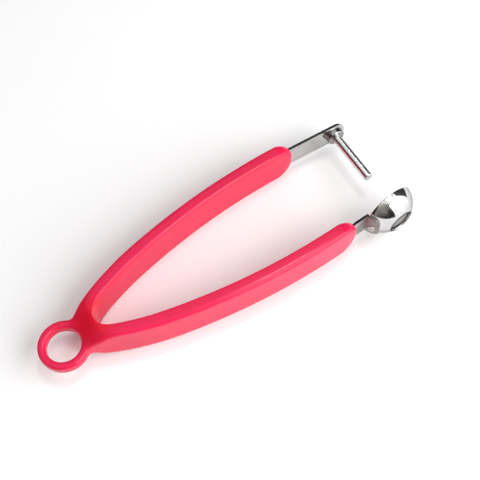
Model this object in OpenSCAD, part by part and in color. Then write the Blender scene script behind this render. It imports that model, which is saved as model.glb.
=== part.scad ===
// Spring tong that pushes the stone out of a cherry: a punch on one arm, a cup with a hole on the other.
// The tool lies on its side. The origin is the middle of the hanging ring. +X runs to the head,
// +Y to the punch arm and +Z along the width of the steel blades.

/* [Hanging ring] */
// Diameter of the hole in the hanging ring
ring_bore_d = 14.5; // [10:0.5:20]
// Width of the ring's band, from the hole to the outside
ring_band = 3.4; // [2.8:0.1:5]
// Height of the ring
ring_h = 5.4; // [4:0.1:8]
// Rounding along the ring's edges
ring_edge_r = 1.2; // [0.4:0.1:1.4]
// Radius of the hollow where the ring runs into the arms
ring_fillet_r = 3; // [1:0.5:6]

/* [Bow and yoke] */
// Radius of the bow that joins the arms, to the middle of the moulding
bow_r = 7.1; // [6:0.1:9]
// Plastic between the ring's hole and the middle of the bow
bow_cover = 2.15; // [2:0.05:4]
// Radius of the hollow between the arms, where they leave the yoke
crotch_r = 6.7; // [5.5:0.1:7.5]
// Distance from the ring's middle to where the yoke starts to rise
rise_from = 6; // [4:0.5:8]
// Length over which the yoke rises from the ring's height to the grips' height
rise_l = 13; // [10:0.5:18]

/* [Arm curve] */
// Angle at which each arm leaves the bow
root_angle = 26; // [20:0.5:30]
// Radius of the arm's first curve
shoulder_r = 130; // [100:5:200]
// Turn of the arm's first curve
shoulder_turn = 13; // [9:0.5:15]
// Radius of the arm's long curve under the hand
palm_r = 310; // [250:5:400]
// Turn of the arm's long curve
palm_turn = 16; // [12:0.5:18]

/* [Grips] */
// Thickness of the grips
grip_t = 5.8; // [5:0.1:8]
// Height of the grips
grip_h = 19; // [16:0.5:24]
// Rounding along the grips' edges
grip_edge_r = 2.2; // [1:0.1:2.4]
// Length of grip past the end of the long curve
grip_overhang = 1.6; // [1:0.1:6]
// Corner radius of the grips' ends, seen from the side
grip_end_r = 8.5; // [4:0.5:9]
// Gap between the moulding and the steel in it
mould_gap = 0.05; // [0.02:0.01:0.1]

/* [Steel strip] */
// Width of the blades
blade_w = 11.5; // [9:0.5:14]
// Thickness of the strip
blade_t = 1.2; // [0.8:0.1:1.6]
// Width of the strip where it is narrowed for the bow
waist_w = 4.6; // [3:0.1:6]
// Length over which the strip widens from the waist to the full blade
waist_taper_l = 10; // [6:1:20]

/* [Flexing zone] */
// Distance along the arm from the end of the bow to the axis that the arm turns about
hinge_along = 5; // [4:0.5:8]
// Radius of the round end of the yoke's stub about that axis
flex_r = 4.5; // [4.2:0.1:6]
// Gap between the stub and the arm
flex_gap = 0.3; // [0.2:0.05:0.5]

/* [Punch] */
// Distance from the end of the long curve to the punch
punch_reach = 25.4; // [18:0.2:34]
// Diameter of the punch
punch_d = 4.2; // [3:0.1:6]
// Length of the punch below the blade
punch_l = 28; // [20:0.5:34]
// Chamfer at the tip of the punch
punch_chamfer = 0.35; // [0.1:0.05:0.8]
// Diameter of the collar at the punch's foot
collar_d = 8.4; // [7:0.1:11]
// Height of the collar
collar_h = 2.6; // [1.5:0.1:4]
// Rounding of the collar's free edge
collar_edge_r = 0.4; // [0.1:0.1:0.8]
// Diameter of the punch's tail, which goes through the blade
tail_d = 3; // [2:0.1:3.6]
// Diameter of the peened head on the tail
peen_d = 6; // [4.5:0.1:8]
// Height of the peened head
peen_h = 1; // [0.6:0.1:1.6]

/* [Cup] */
// Distance from the end of the long curve to the cup's middle
cup_reach = 20.8; // [16:0.2:28]
// Outer radius of the cup at its rim
cup_rim_r = 12.5; // [10:0.1:15]
// Distance from the rim up to the centre of the cup's ball shape
cup_ball_rise = 2.7; // [0.5:0.1:4]
// Thickness of the cup's sheet
cup_wall = 0.9; // [0.6:0.1:1.2]
// Diameter of the hole that the stone leaves by
pit_hole_d = 10.5; // [8:0.1:12]
// Length, along the tool, over which the blade's end cradles the cup
cradle_l = 2.7; // [2:0.1:5]
// Corner radius of the cradling end
cradle_end_r = 3; // [1:0.5:5.5]

/* [Cup rivet] */
// Diameter of the rivet's shank
rivet_d = 2.2; // [1.6:0.1:2.8]
// Diameter of the rivet's heads
rivet_head_d = 3.6; // [3.2:0.1:4]
// Height of the rivet's heads
rivet_head_h = 0.4; // [0.2:0.05:0.8]

/* [Fits] */
// Radial gap of a riveted or pressed shank in its hole
shank_gap = 0.02; // [0.01:0.01:0.05]
// Gap between the cup and the blade's end that cradles it
cradle_gap = 0.05; // [0.02:0.01:0.1]

/* [Hidden] */
$fn = 64;

// Colours of the moulding, the strip and the polished pieces
pink = [0.91, 0.13, 0.27];
steel = [0.72, 0.73, 0.73];
polished = [0.86, 0.87, 0.88];

// Cuts run this far past the solid that they cut
past = 1;
// Steps of each curve along the moulding, and of each rounded corner of its section
curve_steps = 10;
corner_steps = 4;

ring_bore_r = ring_bore_d / 2;
ring_outer_r = ring_bore_r + ring_band;
bow_x = ring_bore_r + bow_cover + bow_r;
bow_outer_r = bow_r + grip_t / 2;

// Degrees in one radian, and the lengths of the curves along the arm's middle line
deg = 180 / PI;
half_bow_l = bow_r * (90 - root_angle) / deg;
shoulder_l = shoulder_r * shoulder_turn / deg;
palm_l = palm_r * palm_turn / deg;
curved_l = shoulder_l + palm_l;
grip_l = curved_l + grip_overhang;
// Longer than an arm, for profiles that cut right across it
span = 2 * (grip_l + punch_reach);

// End of an arc that starts at p with heading a and turns clockwise
function arc_end(p, a, turn, r) = p + r * [sin(a) - sin(a - turn), cos(a - turn) - cos(a)];

// The arm's middle line: root at the bow, knee between the two curves, tip where the straight blade starts
root = [bow_x - bow_r * sin(root_angle), bow_r * cos(root_angle)];
knee_angle = root_angle - shoulder_turn;
knee = arc_end(root, root_angle, shoulder_turn, shoulder_r);
tip_angle = knee_angle - palm_turn;
tip = arc_end(knee, knee_angle, palm_turn, palm_r);

// Heading and place of the middle line at a distance from the root: below 0 it runs back round the bow
function arm_heading(a) =
  a < 0 ? root_angle - a / bow_r * deg :
  a < shoulder_l ? root_angle - a / shoulder_r * deg :
  a < curved_l ? knee_angle - (a - shoulder_l) / palm_r * deg : tip_angle;
function arm_point(a) =
  a < 0 ? arc_end(root, root_angle, a / bow_r * deg, bow_r) :
  a < shoulder_l ? arc_end(root, root_angle, a / shoulder_r * deg, shoulder_r) :
  a < curved_l ? arc_end(knee, knee_angle, (a - shoulder_l) / palm_r * deg, palm_r) :
  tip + (a - curved_l) * [cos(tip_angle), sin(tip_angle)];
function outward(a) = [-sin(arm_heading(a)), cos(arm_heading(a))];
// A place as the straight blade sees it: along it from the tip, and across it
function from_tip(p) =
  let (v = p - tip)
  [v * [cos(tip_angle), sin(tip_angle)], v * [-sin(tip_angle), cos(tip_angle)]];

// The axis that the arm turns about lies on the first curve
hinge = arm_point(hinge_along);
hinge_angle = arm_heading(hinge_along);
stub_l = hinge_along + flex_r + past;

// The hollow between the arms is a circle that touches the inside of both first curves
shoulder_mid = root + shoulder_r * [sin(root_angle), -cos(root_angle)];
crotch_reach = shoulder_r - grip_t / 2 - crotch_r;
crotch_mid = [shoulder_mid[0] - sqrt(pow(crotch_reach, 2) - pow(shoulder_mid[1], 2)), 0];
crotch_turn = root_angle - atan((shoulder_mid[0] - crotch_mid[0]) / -shoulder_mid[1]);
crotch_l = shoulder_r * crotch_turn / deg;
// The moulding's inside, as far from the middle line as the hollow leaves it
function inner_side(a) =
  let (v = arm_point(a) - crotch_mid)
  a > crotch_l ? grip_t / 2 * outward(a) : v - crotch_r * v / norm(v);

// The cup is a piece of a ball, whose centre lies inside the rim
cup_ball_r = sqrt(pow(cup_rim_r, 2) + pow(cup_ball_rise, 2));
cup_ball_v = blade_t / 2 - cup_ball_rise;
cup_inner_r = cup_ball_r - cup_wall;
// The blade runs up to the ball, and its end goes on round the outside of it
cradle_inner_r = cup_ball_r + cradle_gap;
cradle_outer_r = cradle_inner_r + blade_t;
cradle_end = cup_reach - cup_rim_r + cradle_l;
blade_meets_cup = cup_reach - sqrt(pow(cup_rim_r, 2) - pow(blade_w / 2, 2));
// The rivet stands square to the ball in the middle of the cradle, and its inner head seats on its edge
cradle_start_turn = asin(cup_ball_rise / cradle_outer_r);
cradle_end_turn = acos((cup_reach - cradle_end) / cradle_outer_r);
rivet_turn = (cradle_start_turn + cradle_end_turn) / 2;
rivet_seat = sqrt(pow(cup_inner_r, 2) - pow(rivet_head_d / 2, 2));

// The punch's tail ends halfway into its head
tail_l = blade_t + peen_h / 2;

// Hollows between the ring and the bow: circles that touch both outsides
fillet_a = ring_outer_r + ring_fillet_r;
fillet_b = bow_outer_r + ring_fillet_r;
fillet_x = (pow(fillet_a, 2) - pow(fillet_b, 2) + pow(bow_x, 2)) / (2 * bow_x);
fillet_y = sqrt(pow(fillet_a, 2) - pow(fillet_x, 2));
fillet_touch_ring = ring_outer_r / fillet_a * [fillet_x, fillet_y];
fillet_touch_bow = [bow_x, 0] + bow_outer_r / fillet_b * [fillet_x - bow_x, fillet_y];

// Half the height of the yoke at a distance x from the ring's middle
function rise_share(x) = (1 - cos(180 * min(max((x - rise_from) / rise_l, 0), 1))) / 2;
function half_height(x) = (ring_h + (grip_h - ring_h) * rise_share(x)) / 2;

// Points along a stretch, without its first one
function steps(from, to, n) = [for (i = [1:n]) from + (to - from) * i / n];
// How much of a half width is left at a distance d from an end that is rounded with radius r
function rounded_end(half, r, d) = d > r ? half : half - r + sqrt(max(r * r - pow(r - d, 2), 0));

// A rounded rectangle as points, counter-clockwise from the right
function section_points(half_w, half_h, r) =
  [for (q = [0:3], i = [0:corner_steps])
    let (a = 90 * (q + i / corner_steps))
    [(q == 0 || q == 3 ? 1 : -1) * (half_w - r) + r * cos(a),
     (q < 2 ? 1 : -1) * (half_h - r) + r * sin(a)]];
section_n = 4 * (corner_steps + 1);

module rounded_rect(w, h, r) {
  square([w - 2 * r, h], center = true);
  square([w, h - 2 * r], center = true);
  for (x = [-1, 1], y = [-1, 1])
    translate([x * (w / 2 - r), y * (h / 2 - r)])
      circle(r = r);
}

// Skin over a row of sections that have equally many points, closed at both ends
module loft(sections) {
  rows = len(sections);
  sides = [for (k = [0:rows - 2], i = [0:section_n - 1])
    let (j = (i + 1) % section_n, a = k * section_n, b = a + section_n)
    each [[a + i, b + i, b + j], [a + i, b + j, a + j]]];
  first = [for (i = [0:section_n - 1]) i];
  last = [for (i = [section_n - 1:-1:0]) (rows - 1) * section_n + i];
  polyhedron([for (s = sections) each s], concat([first, last], sides), convexity = 6);
}

// The frame at the end of the long curve: X along the blade, Y away from the other arm
module at_tip() translate(tip) rotate(tip_angle) children();

module at_hinge() translate(hinge) rotate(hinge_angle) children();

module hinge_cylinder(r)
  at_hinge()
    cylinder(r = r, h = grip_h + 2 * past, center = true);

module both_arms() {
  children();
  mirror([0, 1, 0]) children();
}

// What lies past the round end of the stub
module past_stub(r)
  difference() {
    at_hinge()
      translate([0, -grip_t, -grip_h / 2 - past])
        cube([2 * stub_l, 2 * grip_t, grip_h + 2 * past]);
    hinge_cylinder(r);
  }

// Distances from the root along the yoke's middle line, from the bow's middle to the end of the stub
yoke_steps = concat([-half_bow_l], steps(-half_bow_l, 0, curve_steps), steps(0, stub_l, curve_steps));

// Outline of a strip round the bow and along both stubs
module bow_outline(half) {
  outer = [for (a = yoke_steps) arm_point(a) + half * outward(a)];
  inner = [for (a = yoke_steps) arm_point(a) - half * outward(a)];
  n = len(yoke_steps) - 1;
  polygon(concat(
    [for (p = outer) p],
    [for (i = [n:-1:0]) inner[i]],
    [for (i = [1:n]) [inner[i][0], -inner[i][1]]],
    [for (i = [n:-1:1]) [outer[i][0], -outer[i][1]]]));
}

// The moulding round the bow: the section follows the middle line, and its height follows the yoke's rise
function yoke_section(a, side) =
  [for (p = section_points(grip_t / 2, grip_h / 2, grip_edge_r))
    let (half = p[0] > 0 ? grip_t / 2 * outward(a) : inner_side(a))
    let (q = arm_point(a) + p[0] / (grip_t / 2) * half)
    [q[0], side * q[1], p[1] * half_height(q[0]) / (grip_h / 2)]];

module yoke_moulding()
  loft(concat(
    [for (i = [len(yoke_steps) - 1:-1:1]) yoke_section(yoke_steps[i], -1)],
    [for (a = yoke_steps) yoke_section(a, 1)]));

// Flat web that fills the corners between the ring and the bow
module ring_web()
  linear_extrude(ring_h - 2 * ring_edge_r, center = true)
    difference() {
      polygon([fillet_touch_ring, fillet_touch_bow, [bow_x - bow_r, 0],
               [fillet_touch_bow[0], -fillet_touch_bow[1]], [fillet_touch_ring[0], -fillet_touch_ring[1]]]);
      for (y = [-1, 1])
        translate([fillet_x, y * fillet_y])
          circle(r = ring_fillet_r);
    }

// Distances from the root along a blade that ends at a distance from it
function blade_steps(end) = concat([hinge_along],
  steps(hinge_along, shoulder_l, curve_steps),
  steps(shoulder_l, curved_l, 2 * curve_steps),
  [end]);

// A blade from the flexing zone to a distance from the root, with the waist at its start
module blade(end, gap) {
  half = blade_t / 2 + gap;
  outer = [for (a = blade_steps(end)) from_tip(arm_point(a) + half * outward(a))];
  inner = [for (a = blade_steps(end)) from_tip(arm_point(a) - half * outward(a))];
  difference() {
    intersection() {
      at_tip()
        linear_extrude(blade_w + 2 * gap, center = true)
          polygon(concat(outer, [for (i = [len(inner) - 1:-1:0]) inner[i]]));
      at_hinge()
        rotate([90, 0, 0])
          linear_extrude(span, center = true)
            waist_outline(gap);
    }
    hinge_cylinder(flex_r + flex_gap);
  }
}

// The strip's width seen from the side: narrow at the hinge, then wider than the blade
module waist_outline(gap) {
  start = flex_r + flex_gap + past;
  low = waist_w / 2 + gap;
  slope = (blade_w - waist_w) / 2 / waist_taper_l;
  high = blade_w / 2 + gap + past;
  edge = [[0, low], [start, low], [start + (high - low) / slope, high], [span, high]];
  polygon(concat(edge, [for (i = [len(edge) - 1:-1:0]) [edge[i][0], -edge[i][1]]]));
}

// The moulding along an arm, with its rounded end
grip_steps = concat([hinge_along],
  steps(hinge_along, shoulder_l, curve_steps),
  steps(shoulder_l, grip_l - grip_end_r, 2 * curve_steps),
  [for (i = [1:curve_steps]) grip_l - grip_end_r * (1 - sin(90 * i / curve_steps))]);

function grip_section(a) =
  let (half_w = rounded_end(grip_t / 2, grip_edge_r, grip_l - a))
  let (half_h = rounded_end(grip_h / 2, grip_end_r, grip_l - a))
  [for (p = section_points(half_w, half_h, min(grip_edge_r, half_w, half_h)))
    let (q = arm_point(a) + p[0] * outward(a))
    [q[0], q[1], p[1]]];

// One grip, hollow for the blade
module grip()
  difference() {
    loft([for (a = grip_steps) grip_section(a)]);
    hinge_cylinder(flex_r + flex_gap);
    blade(grip_l + past, mould_gap);
  }

// A round shank at a place along the straight blade, from v0 to v1 across it
module shank(along, r, v0, v1)
  at_tip()
    translate([along, v0, 0])
      rotate([-90, 0, 0])
        cylinder(r = r, h = v1 - v0);

module ring_yoke()
  color(pink)
    difference() {
      union() {
        rotate_extrude()
          translate([ring_bore_r + ring_band / 2, 0])
            rounded_rect(ring_band, ring_h, ring_edge_r);
        ring_web();
        yoke_moulding();
      }
      both_arms() past_stub(flex_r);
      cylinder(r = ring_bore_r, h = grip_h, center = true);
      linear_extrude(waist_w + 2 * mould_gap, center = true)
        bow_outline(blade_t / 2 + mould_gap);
    }

module spring_bow()
  color(steel)
    difference() {
      linear_extrude(waist_w, center = true)
        bow_outline(blade_t / 2);
      both_arms() past_stub(flex_r);
    }

module upper_grip() color(pink) grip();

module lower_grip() color(pink) mirror([0, 1, 0]) grip();

module upper_blade()
  color(steel)
    difference() {
      union() {
        blade(curved_l + punch_reach, 0);
        shank(punch_reach, blade_w / 2, -blade_t / 2, blade_t / 2);
      }
      shank(punch_reach, tail_d / 2 + shank_gap, -blade_t / 2 - past, blade_t / 2 + past);
    }

module punch_collar()
  color(polished)
    at_tip()
      translate([punch_reach, -blade_t / 2, 0])
        rotate([90, 0, 0])
          rotate_extrude()
            difference() {
              square([collar_d / 2, collar_h]);
              square([punch_d / 2 + shank_gap, collar_h]);
              translate([collar_d / 2 - collar_edge_r, collar_h - collar_edge_r])
                difference() {
                  square(collar_edge_r);
                  circle(r = collar_edge_r);
                }
            }

module punch_pin()
  color(polished)
    at_tip()
      translate([punch_reach, -blade_t / 2, 0])
        rotate([90, 0, 0]) {
          rotate_extrude()
            polygon([[0, punch_l], [punch_d / 2 - punch_chamfer, punch_l],
                     [punch_d / 2, punch_l - punch_chamfer], [punch_d / 2, 0],
                     [tail_d / 2, 0], [tail_d / 2, -tail_l], [0, -tail_l]]);
          translate([0, 0, -blade_t])
            rotate([180, 0, 0])
              peened_head();
        }

// A low dome, part of a ball
module peened_head() {
  dome_r = (pow(peen_d / 2, 2) + pow(peen_h, 2)) / (2 * peen_h);
  intersection() {
    translate([0, 0, peen_h - dome_r])
      sphere(r = dome_r);
    cylinder(r = peen_d, h = 2 * peen_h);
  }
}

module at_cup_ball()
  at_tip()
    translate([cup_reach, cup_ball_v, 0])
      children();

module at_rivet()
  at_cup_ball()
    rotate([0, 90, 180 - rivet_turn])
      children();

module rivet_hole()
  at_rivet()
    cylinder(r = rivet_d / 2 + shank_gap, h = 2 * cup_rim_r);

// The end of the blade, bent round the outside of the cup
module cradle()
  intersection() {
    at_cup_ball() sphere(r = cradle_outer_r);
    at_tip()
      translate([cradle_end - cup_rim_r, -blade_t / 2, 0])
        rotate([-90, 0, 0])
          linear_extrude(2 * cup_rim_r)
            rounded_rect(2 * cup_rim_r, blade_w, cradle_end_r);
  }

module lower_blade()
  color(steel)
    mirror([0, 1, 0])
      difference() {
        union() {
          blade(curved_l + blade_meets_cup, 0);
          cradle();
        }
        at_cup_ball() sphere(r = cradle_inner_r);
        rivet_hole();
      }

module pit_cup()
  color(polished)
    mirror([0, 1, 0])
      difference() {
        intersection() {
          at_cup_ball() sphere(r = cup_ball_r);
          at_tip()
            translate([cup_reach, blade_t / 2, 0])
              rotate([-90, 0, 0])
                cylinder(r = cup_rim_r + past, h = 2 * cup_rim_r);
        }
        at_cup_ball() sphere(r = cup_inner_r);
        shank(cup_reach, pit_hole_d / 2, 0, 2 * cup_rim_r);
        rivet_hole();
      }

module cup_rivet()
  color(polished)
    mirror([0, 1, 0])
      at_rivet()
        rotate_extrude()
          polygon([[0, rivet_seat - rivet_head_h], [rivet_head_d / 2, rivet_seat - rivet_head_h],
                   [rivet_head_d / 2, rivet_seat], [rivet_d / 2, rivet_seat],
                   [rivet_d / 2, cradle_outer_r], [rivet_head_d / 2, cradle_outer_r],
                   [rivet_head_d / 2, cradle_outer_r + rivet_head_h], [0, cradle_outer_r + rivet_head_h]]);

ring_yoke();
spring_bow();
upper_grip();
upper_blade();
punch_collar();
punch_pin();
lower_grip();
lower_blade();
pit_cup();
cup_rivet();
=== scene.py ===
# %% [markdown]
# # A cherry pitter
# The tool is a spring tong. One pink moulding covers a bent steel strip, from the hanging ring over the
# yoke to the ends of both arms. The bare ends of the strip carry a steel punch and a holed cup.
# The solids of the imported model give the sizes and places, and a few were fitted closer to the photograph
# here. The solids stay where they are, and the pieces are modelled over them, rounder and with finishes.

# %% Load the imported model
from math import acos, asin, atan2, cos, degrees, pi, radians, sin, sqrt, tau

import bmesh
import bpy
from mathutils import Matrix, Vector


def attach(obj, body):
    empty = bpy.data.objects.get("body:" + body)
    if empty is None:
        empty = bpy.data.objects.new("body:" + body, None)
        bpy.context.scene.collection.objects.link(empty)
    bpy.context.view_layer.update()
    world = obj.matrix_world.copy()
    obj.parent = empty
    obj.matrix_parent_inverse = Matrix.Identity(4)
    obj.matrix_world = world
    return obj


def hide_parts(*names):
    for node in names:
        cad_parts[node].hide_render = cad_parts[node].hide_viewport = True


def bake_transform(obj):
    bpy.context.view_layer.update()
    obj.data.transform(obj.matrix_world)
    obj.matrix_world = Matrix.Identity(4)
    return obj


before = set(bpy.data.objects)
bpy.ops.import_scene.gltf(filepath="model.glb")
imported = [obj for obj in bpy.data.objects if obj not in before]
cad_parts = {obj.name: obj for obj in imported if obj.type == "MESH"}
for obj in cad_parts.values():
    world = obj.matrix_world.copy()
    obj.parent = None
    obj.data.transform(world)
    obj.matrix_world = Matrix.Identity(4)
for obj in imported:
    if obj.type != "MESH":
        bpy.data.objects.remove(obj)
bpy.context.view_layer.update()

MM = 0.001

# %% [markdown]
# ## Camera
# The photograph looks down on the tool from the cup's side, with the ring near the lower left corner.
# Setting the camera first means that every later piece can be compared with the photograph at once.
# Its place and angles come from fitting the ring, both arms, the punch and the cup at the same time.

# %% Camera
camera_place = Vector((3.94, -131.04, 290.89)) * MM
camera_angles = (27.965, 1.068, -33.892)
sensor_mm, lens_mm = 36, 57.27
nearest_seen = 10 * MM
bpy.ops.object.camera_add(location=camera_place, rotation=[radians(a) for a in camera_angles])
camera = bpy.context.object
camera.data.sensor_width = sensor_mm
camera.data.lens = lens_mm
camera.data.clip_start = nearest_seen
bpy.context.scene.camera = camera
bpy.context.scene.view_settings.view_transform = "Standard"
print("Camera", round(camera_place.length / MM), "mm from the ring")

# %% [markdown]
# ## The middle line of an arm
# Each arm is a stretch of two arcs and a straight end: a tight shoulder next to the yoke, a long flat arc
# under the palm, and the bare blade. Drawing the line first gives all pieces the same curve. The centres
# of the arcs are kept, because the Spin operator turns a section about a centre, as bending a strip does.

# %% The middle line of the upper arm
bow_x, bow_r = 16.5 * MM, 7.1 * MM
root_angle = radians(26)
shoulder_r, shoulder_turn = 130 * MM, radians(13)
palm_r, palm_turn = 310 * MM, radians(16)


def ahead(angle):
    """Direction of the line where it is at this angle."""
    return Vector((cos(angle), sin(angle), 0))


def outward(angle):
    """Direction away from the other arm where the line is at this angle."""
    return Vector((-sin(angle), cos(angle), 0))


root = Vector((bow_x, 0, 0)) + bow_r * outward(root_angle)
shoulder_mid = root - shoulder_r * outward(root_angle)
knee_angle = root_angle - shoulder_turn
palm_mid = shoulder_mid + (shoulder_r - palm_r) * outward(knee_angle)
tip_angle = knee_angle - palm_turn
tip = palm_mid + palm_r * outward(tip_angle)
print("Tip of the upper arm in mm:", [round(v / MM, 2) for v in tip])

# %% [markdown]
# ## Selecting by place
# An operator acts on what is selected. By hand one clicks on an edge or a face, and here a test on its
# place or its normal does the same, so that the choice is the same on each run.

# %% Helpers for selecting and finishing
tiny, tiny_angle = 0.01 * MM, 1e-4


def pick(kind, test):
    """Select the vertices, edges or faces that pass the test in the mesh being edited."""
    bpy.ops.mesh.select_mode(type=kind)
    bpy.ops.mesh.select_all(action="DESELECT")
    mesh = bmesh.from_edit_mesh(bpy.context.edit_object.data)
    items = {"VERT": mesh.verts, "EDGE": mesh.edges, "FACE": mesh.faces}[kind]
    chosen = [item for item in items if test(item)]
    for item in chosen:
        item.select_set(True)
    mesh.select_flush_mode()
    bmesh.update_edit_mesh(bpy.context.edit_object.data)
    return len(chosen)


def middle(item):
    """Middle of an edge or a face."""
    return sum((v.co for v in item.verts), Vector()) / len(item.verts)


def move_each(place_of, selected_only=False):
    """Move the vertices of the mesh being edited to the places that the function gives."""
    mesh = bmesh.from_edit_mesh(bpy.context.edit_object.data)
    for vertex in mesh.verts:
        if vertex.select or not selected_only:
            vertex.co = place_of(vertex.co.copy())
    bmesh.update_edit_mesh(bpy.context.edit_object.data)


def apply_modifier(kind, **settings):
    """Add a modifier to the active object and apply it."""
    bpy.ops.object.mode_set(mode="OBJECT")
    bpy.ops.object.modifier_add(type=kind)
    modifier = bpy.context.object.modifiers[-1]
    for name, value in settings.items():
        setattr(modifier, name, value)
    bpy.ops.object.modifier_apply(modifier=modifier.name)


def start_piece(name):
    """Name the object that was just added, and its mesh, and go on to edit it."""
    piece = bpy.context.object
    piece.name = piece.data.name = name
    bpy.ops.object.mode_set(mode="EDIT")
    return piece


def face_count(*pieces):
    """Text that says how many faces the pieces have."""
    return ", ".join(f"{piece.name} {len(piece.data.polygons)} faces" for piece in pieces)


# %% [markdown]
# ## The moulding's plan
# The pink moulding is one piece of satin plastic: a ring to hang it by, a yoke, and a sleeve along each
# arm. It could be joined from a torus and two swept bars, but then the joins would show as creases. So
# it is box modelled: a flat pattern of quads first, later raised, rounded and subdivided. Only the upper
# half of the pattern is drawn, because a Mirror modifier gives the lower half.

# %% Pattern of the ring
ring_bore_r, ring_outer_r = 7.25 * MM, 10.65 * MM
ring_spokes = 36
bpy.ops.mesh.primitive_circle_add(vertices=ring_spokes, radius=ring_bore_r)
moulding = start_piece("ring_moulding")
pick("VERT", lambda v: v.co.y < -tiny)
bpy.ops.mesh.delete(type="VERT")
bpy.ops.mesh.select_all(action="SELECT")
bpy.ops.mesh.extrude_edges_move(TRANSFORM_OT_translate={"value": (0, 0, 0)})
widen = ring_outer_r / ring_bore_r
bpy.ops.transform.resize(value=(widen, widen, 1), center_override=(0, 0, 0))
print("Ring pattern:", len(bmesh.from_edit_mesh(moulding.data).faces), "quads")

# %% [markdown]
# ## The yoke
# The yoke leaves the ring through a narrow neck and splits into two arms round a hollow. Five spokes of
# the ring's pattern run on into it, in three rows. The outermost spoke is the outline beside the neck. It
# and the next two run on as the arm, and the last two end at the hollow between the arms. A subdivided
# surface cuts its corners, so the points of that hollow lie a little deeper than the finished shape.

# %% Pattern of the yoke
arm_half_t = 2.9 * MM
hollow_r, deeper = 6.7 * MM, 1.08
hollow_cage_r = deeper * hollow_r
hollow_reach = shoulder_r - arm_half_t - hollow_r
hollow_mid = Vector((shoulder_mid.x - sqrt(hollow_reach ** 2 - shoulder_mid.y ** 2), 0, 0))
fork_angle = atan2(shoulder_mid.x - hollow_mid.x, -shoulder_mid.y)
hollow_step = (pi / 2 - fork_angle) / 2
# Places of two rows in mm, from the middle of the tool outwards
neck_row = [(10.8, 0), (10.7, 1.9), (10.4, 3.7), (9.7, 5.8), (8.4, 7.6)]
split_row = [(13.4, 0), (13.7, 2.4), (14.6, 4.6), (13.7, 7.1), (11.9, 9.4)]
fork_row = [hollow_mid - hollow_cage_r * ahead(0), hollow_mid + hollow_cage_r * ahead(pi - hollow_step)]
for share in (-1, 0, 1):
    fork_row.append(shoulder_mid + (shoulder_r + share * arm_half_t) * outward(fork_angle))


def place_row(places):
    """Put the selected vertices, taken by their angle about the ring, at these places."""
    mesh = bmesh.from_edit_mesh(moulding.data)
    row = sorted((v for v in mesh.verts if v.select), key=lambda v: atan2(v.co.y, v.co.x))
    for vertex, place in zip(row, places, strict=True):
        vertex.co = Vector(place).to_3d()
    bmesh.update_edit_mesh(moulding.data)


yoke_spread = radians(40)
pick("VERT", lambda v: v.co.length > ring_outer_r - tiny
     and atan2(v.co.y, v.co.x) < yoke_spread + tiny_angle)
place_row([Vector(p) * MM for p in neck_row])
for row in ([Vector(p) * MM for p in split_row], fork_row):
    bpy.ops.mesh.extrude_edges_move(TRANSFORM_OT_translate={"value": (0, 0, 0)})
    place_row(row)
print("With the yoke:", len(bmesh.from_edit_mesh(moulding.data).faces), "quads")

# %% [markdown]
# ## The arms
# Each arm of the moulding has nearly the same thickness from the yoke to its end, so its pattern is the
# end of the yoke spun along the two arcs, as the real sleeve follows the strip inside it. Only its outer
# wall is then drawn in a little towards the yoke. Its end stays square for now. The Mirror modifier then
# adds the other arm.

# %% Pattern of the arms
shoulder_steps, palm_steps = 6, 16
sleeve_overhang = 2.2 * MM
shoulder_thinning = 0.4 * MM
palm_end_turn = palm_turn + sleeve_overhang / palm_r


def bend(mid, turn, steps):
    """Carry what is selected on along an arc of the upper arm."""
    bpy.ops.mesh.spin(steps=steps, angle=turn, center=mid, axis=(0, 0, 1))


def angle_about(mid, place):
    """Angle of the upper arm's line beside a place, on its arc about this middle."""
    return atan2(mid.x - place.x, place.y - mid.y)


def across_start(edge):
    """Whether an edge lies across the start of the upper arm."""
    return all(abs(angle_about(shoulder_mid, v.co) - fork_angle) < tiny_angle
               and (v.co - shoulder_mid).length > shoulder_r - arm_half_t - tiny for v in edge.verts)


def thinned(place):
    """Draw the outer wall of the shoulder in, more towards the yoke."""
    angle = angle_about(shoulder_mid, place)
    share = (angle - knee_angle) / (fork_angle - knee_angle)
    if (place - shoulder_mid).length < shoulder_r + tiny or not 0 < share < 1 + tiny_angle:
        return place
    return place - share * shoulder_thinning * outward(angle)


pick("EDGE", across_start)
bend(shoulder_mid, fork_angle - knee_angle, shoulder_steps)
bend(palm_mid, palm_end_turn, palm_steps)
move_each(thinned)
bpy.ops.mesh.select_all(action="SELECT")
bpy.ops.mesh.remove_doubles(threshold=tiny)
apply_modifier("MIRROR", use_axis=(False, True, False), merge_threshold=tiny)
print("Whole pattern:", face_count(moulding))

# %% [markdown]
# ## From pattern to solid
# The ring is low and the sleeves are tall, and the yoke rises between them in a smooth slope. The pattern
# is extruded up in two layers, and each vertex then gets the height of the moulding at its place. The
# lower layer stays close below the upper one and holds the side walls flat when the surface is subdivided.
# The edges to be rounded are marked as seams now, while top and walls are still square to each other.

# %% Raise the pattern
ring_half_h, sleeve_half_h = 2.7 * MM, 9.5 * MM
rise_from, rise_l = 5.5 * MM, 11.5 * MM
hold_below, hold_share = 2.4 * MM, 0.35
corner_angle = radians(60)


def half_height(place):
    """Half the height of the moulding at a place of its plan."""
    rise = min(max((place.x - rise_from) / rise_l, 0), 1)
    return ring_half_h + (sleeve_half_h - ring_half_h) * (1 - cos(pi * rise)) / 2


def raised(place):
    """Place of a vertex of the two flat layers in the solid."""
    top = half_height(place)
    hold = max(top - hold_below, hold_share * top)
    return Vector((place.x, place.y, (0, hold, top)[round(place.z / MM)]))


def walls_at(edge):
    """Normals of the upright faces at an edge."""
    return [face.normal for face in edge.link_faces if abs(face.normal.z) < 0.5]


def is_rim(edge):
    """Whether an edge lies between the top and a side wall, or at a corner of an arm's end."""
    if len(edge.link_faces) < 2:
        return False
    walls = len(walls_at(edge))
    return walls == 1 or walls == 2 and edge.calc_face_angle() > corner_angle


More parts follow.
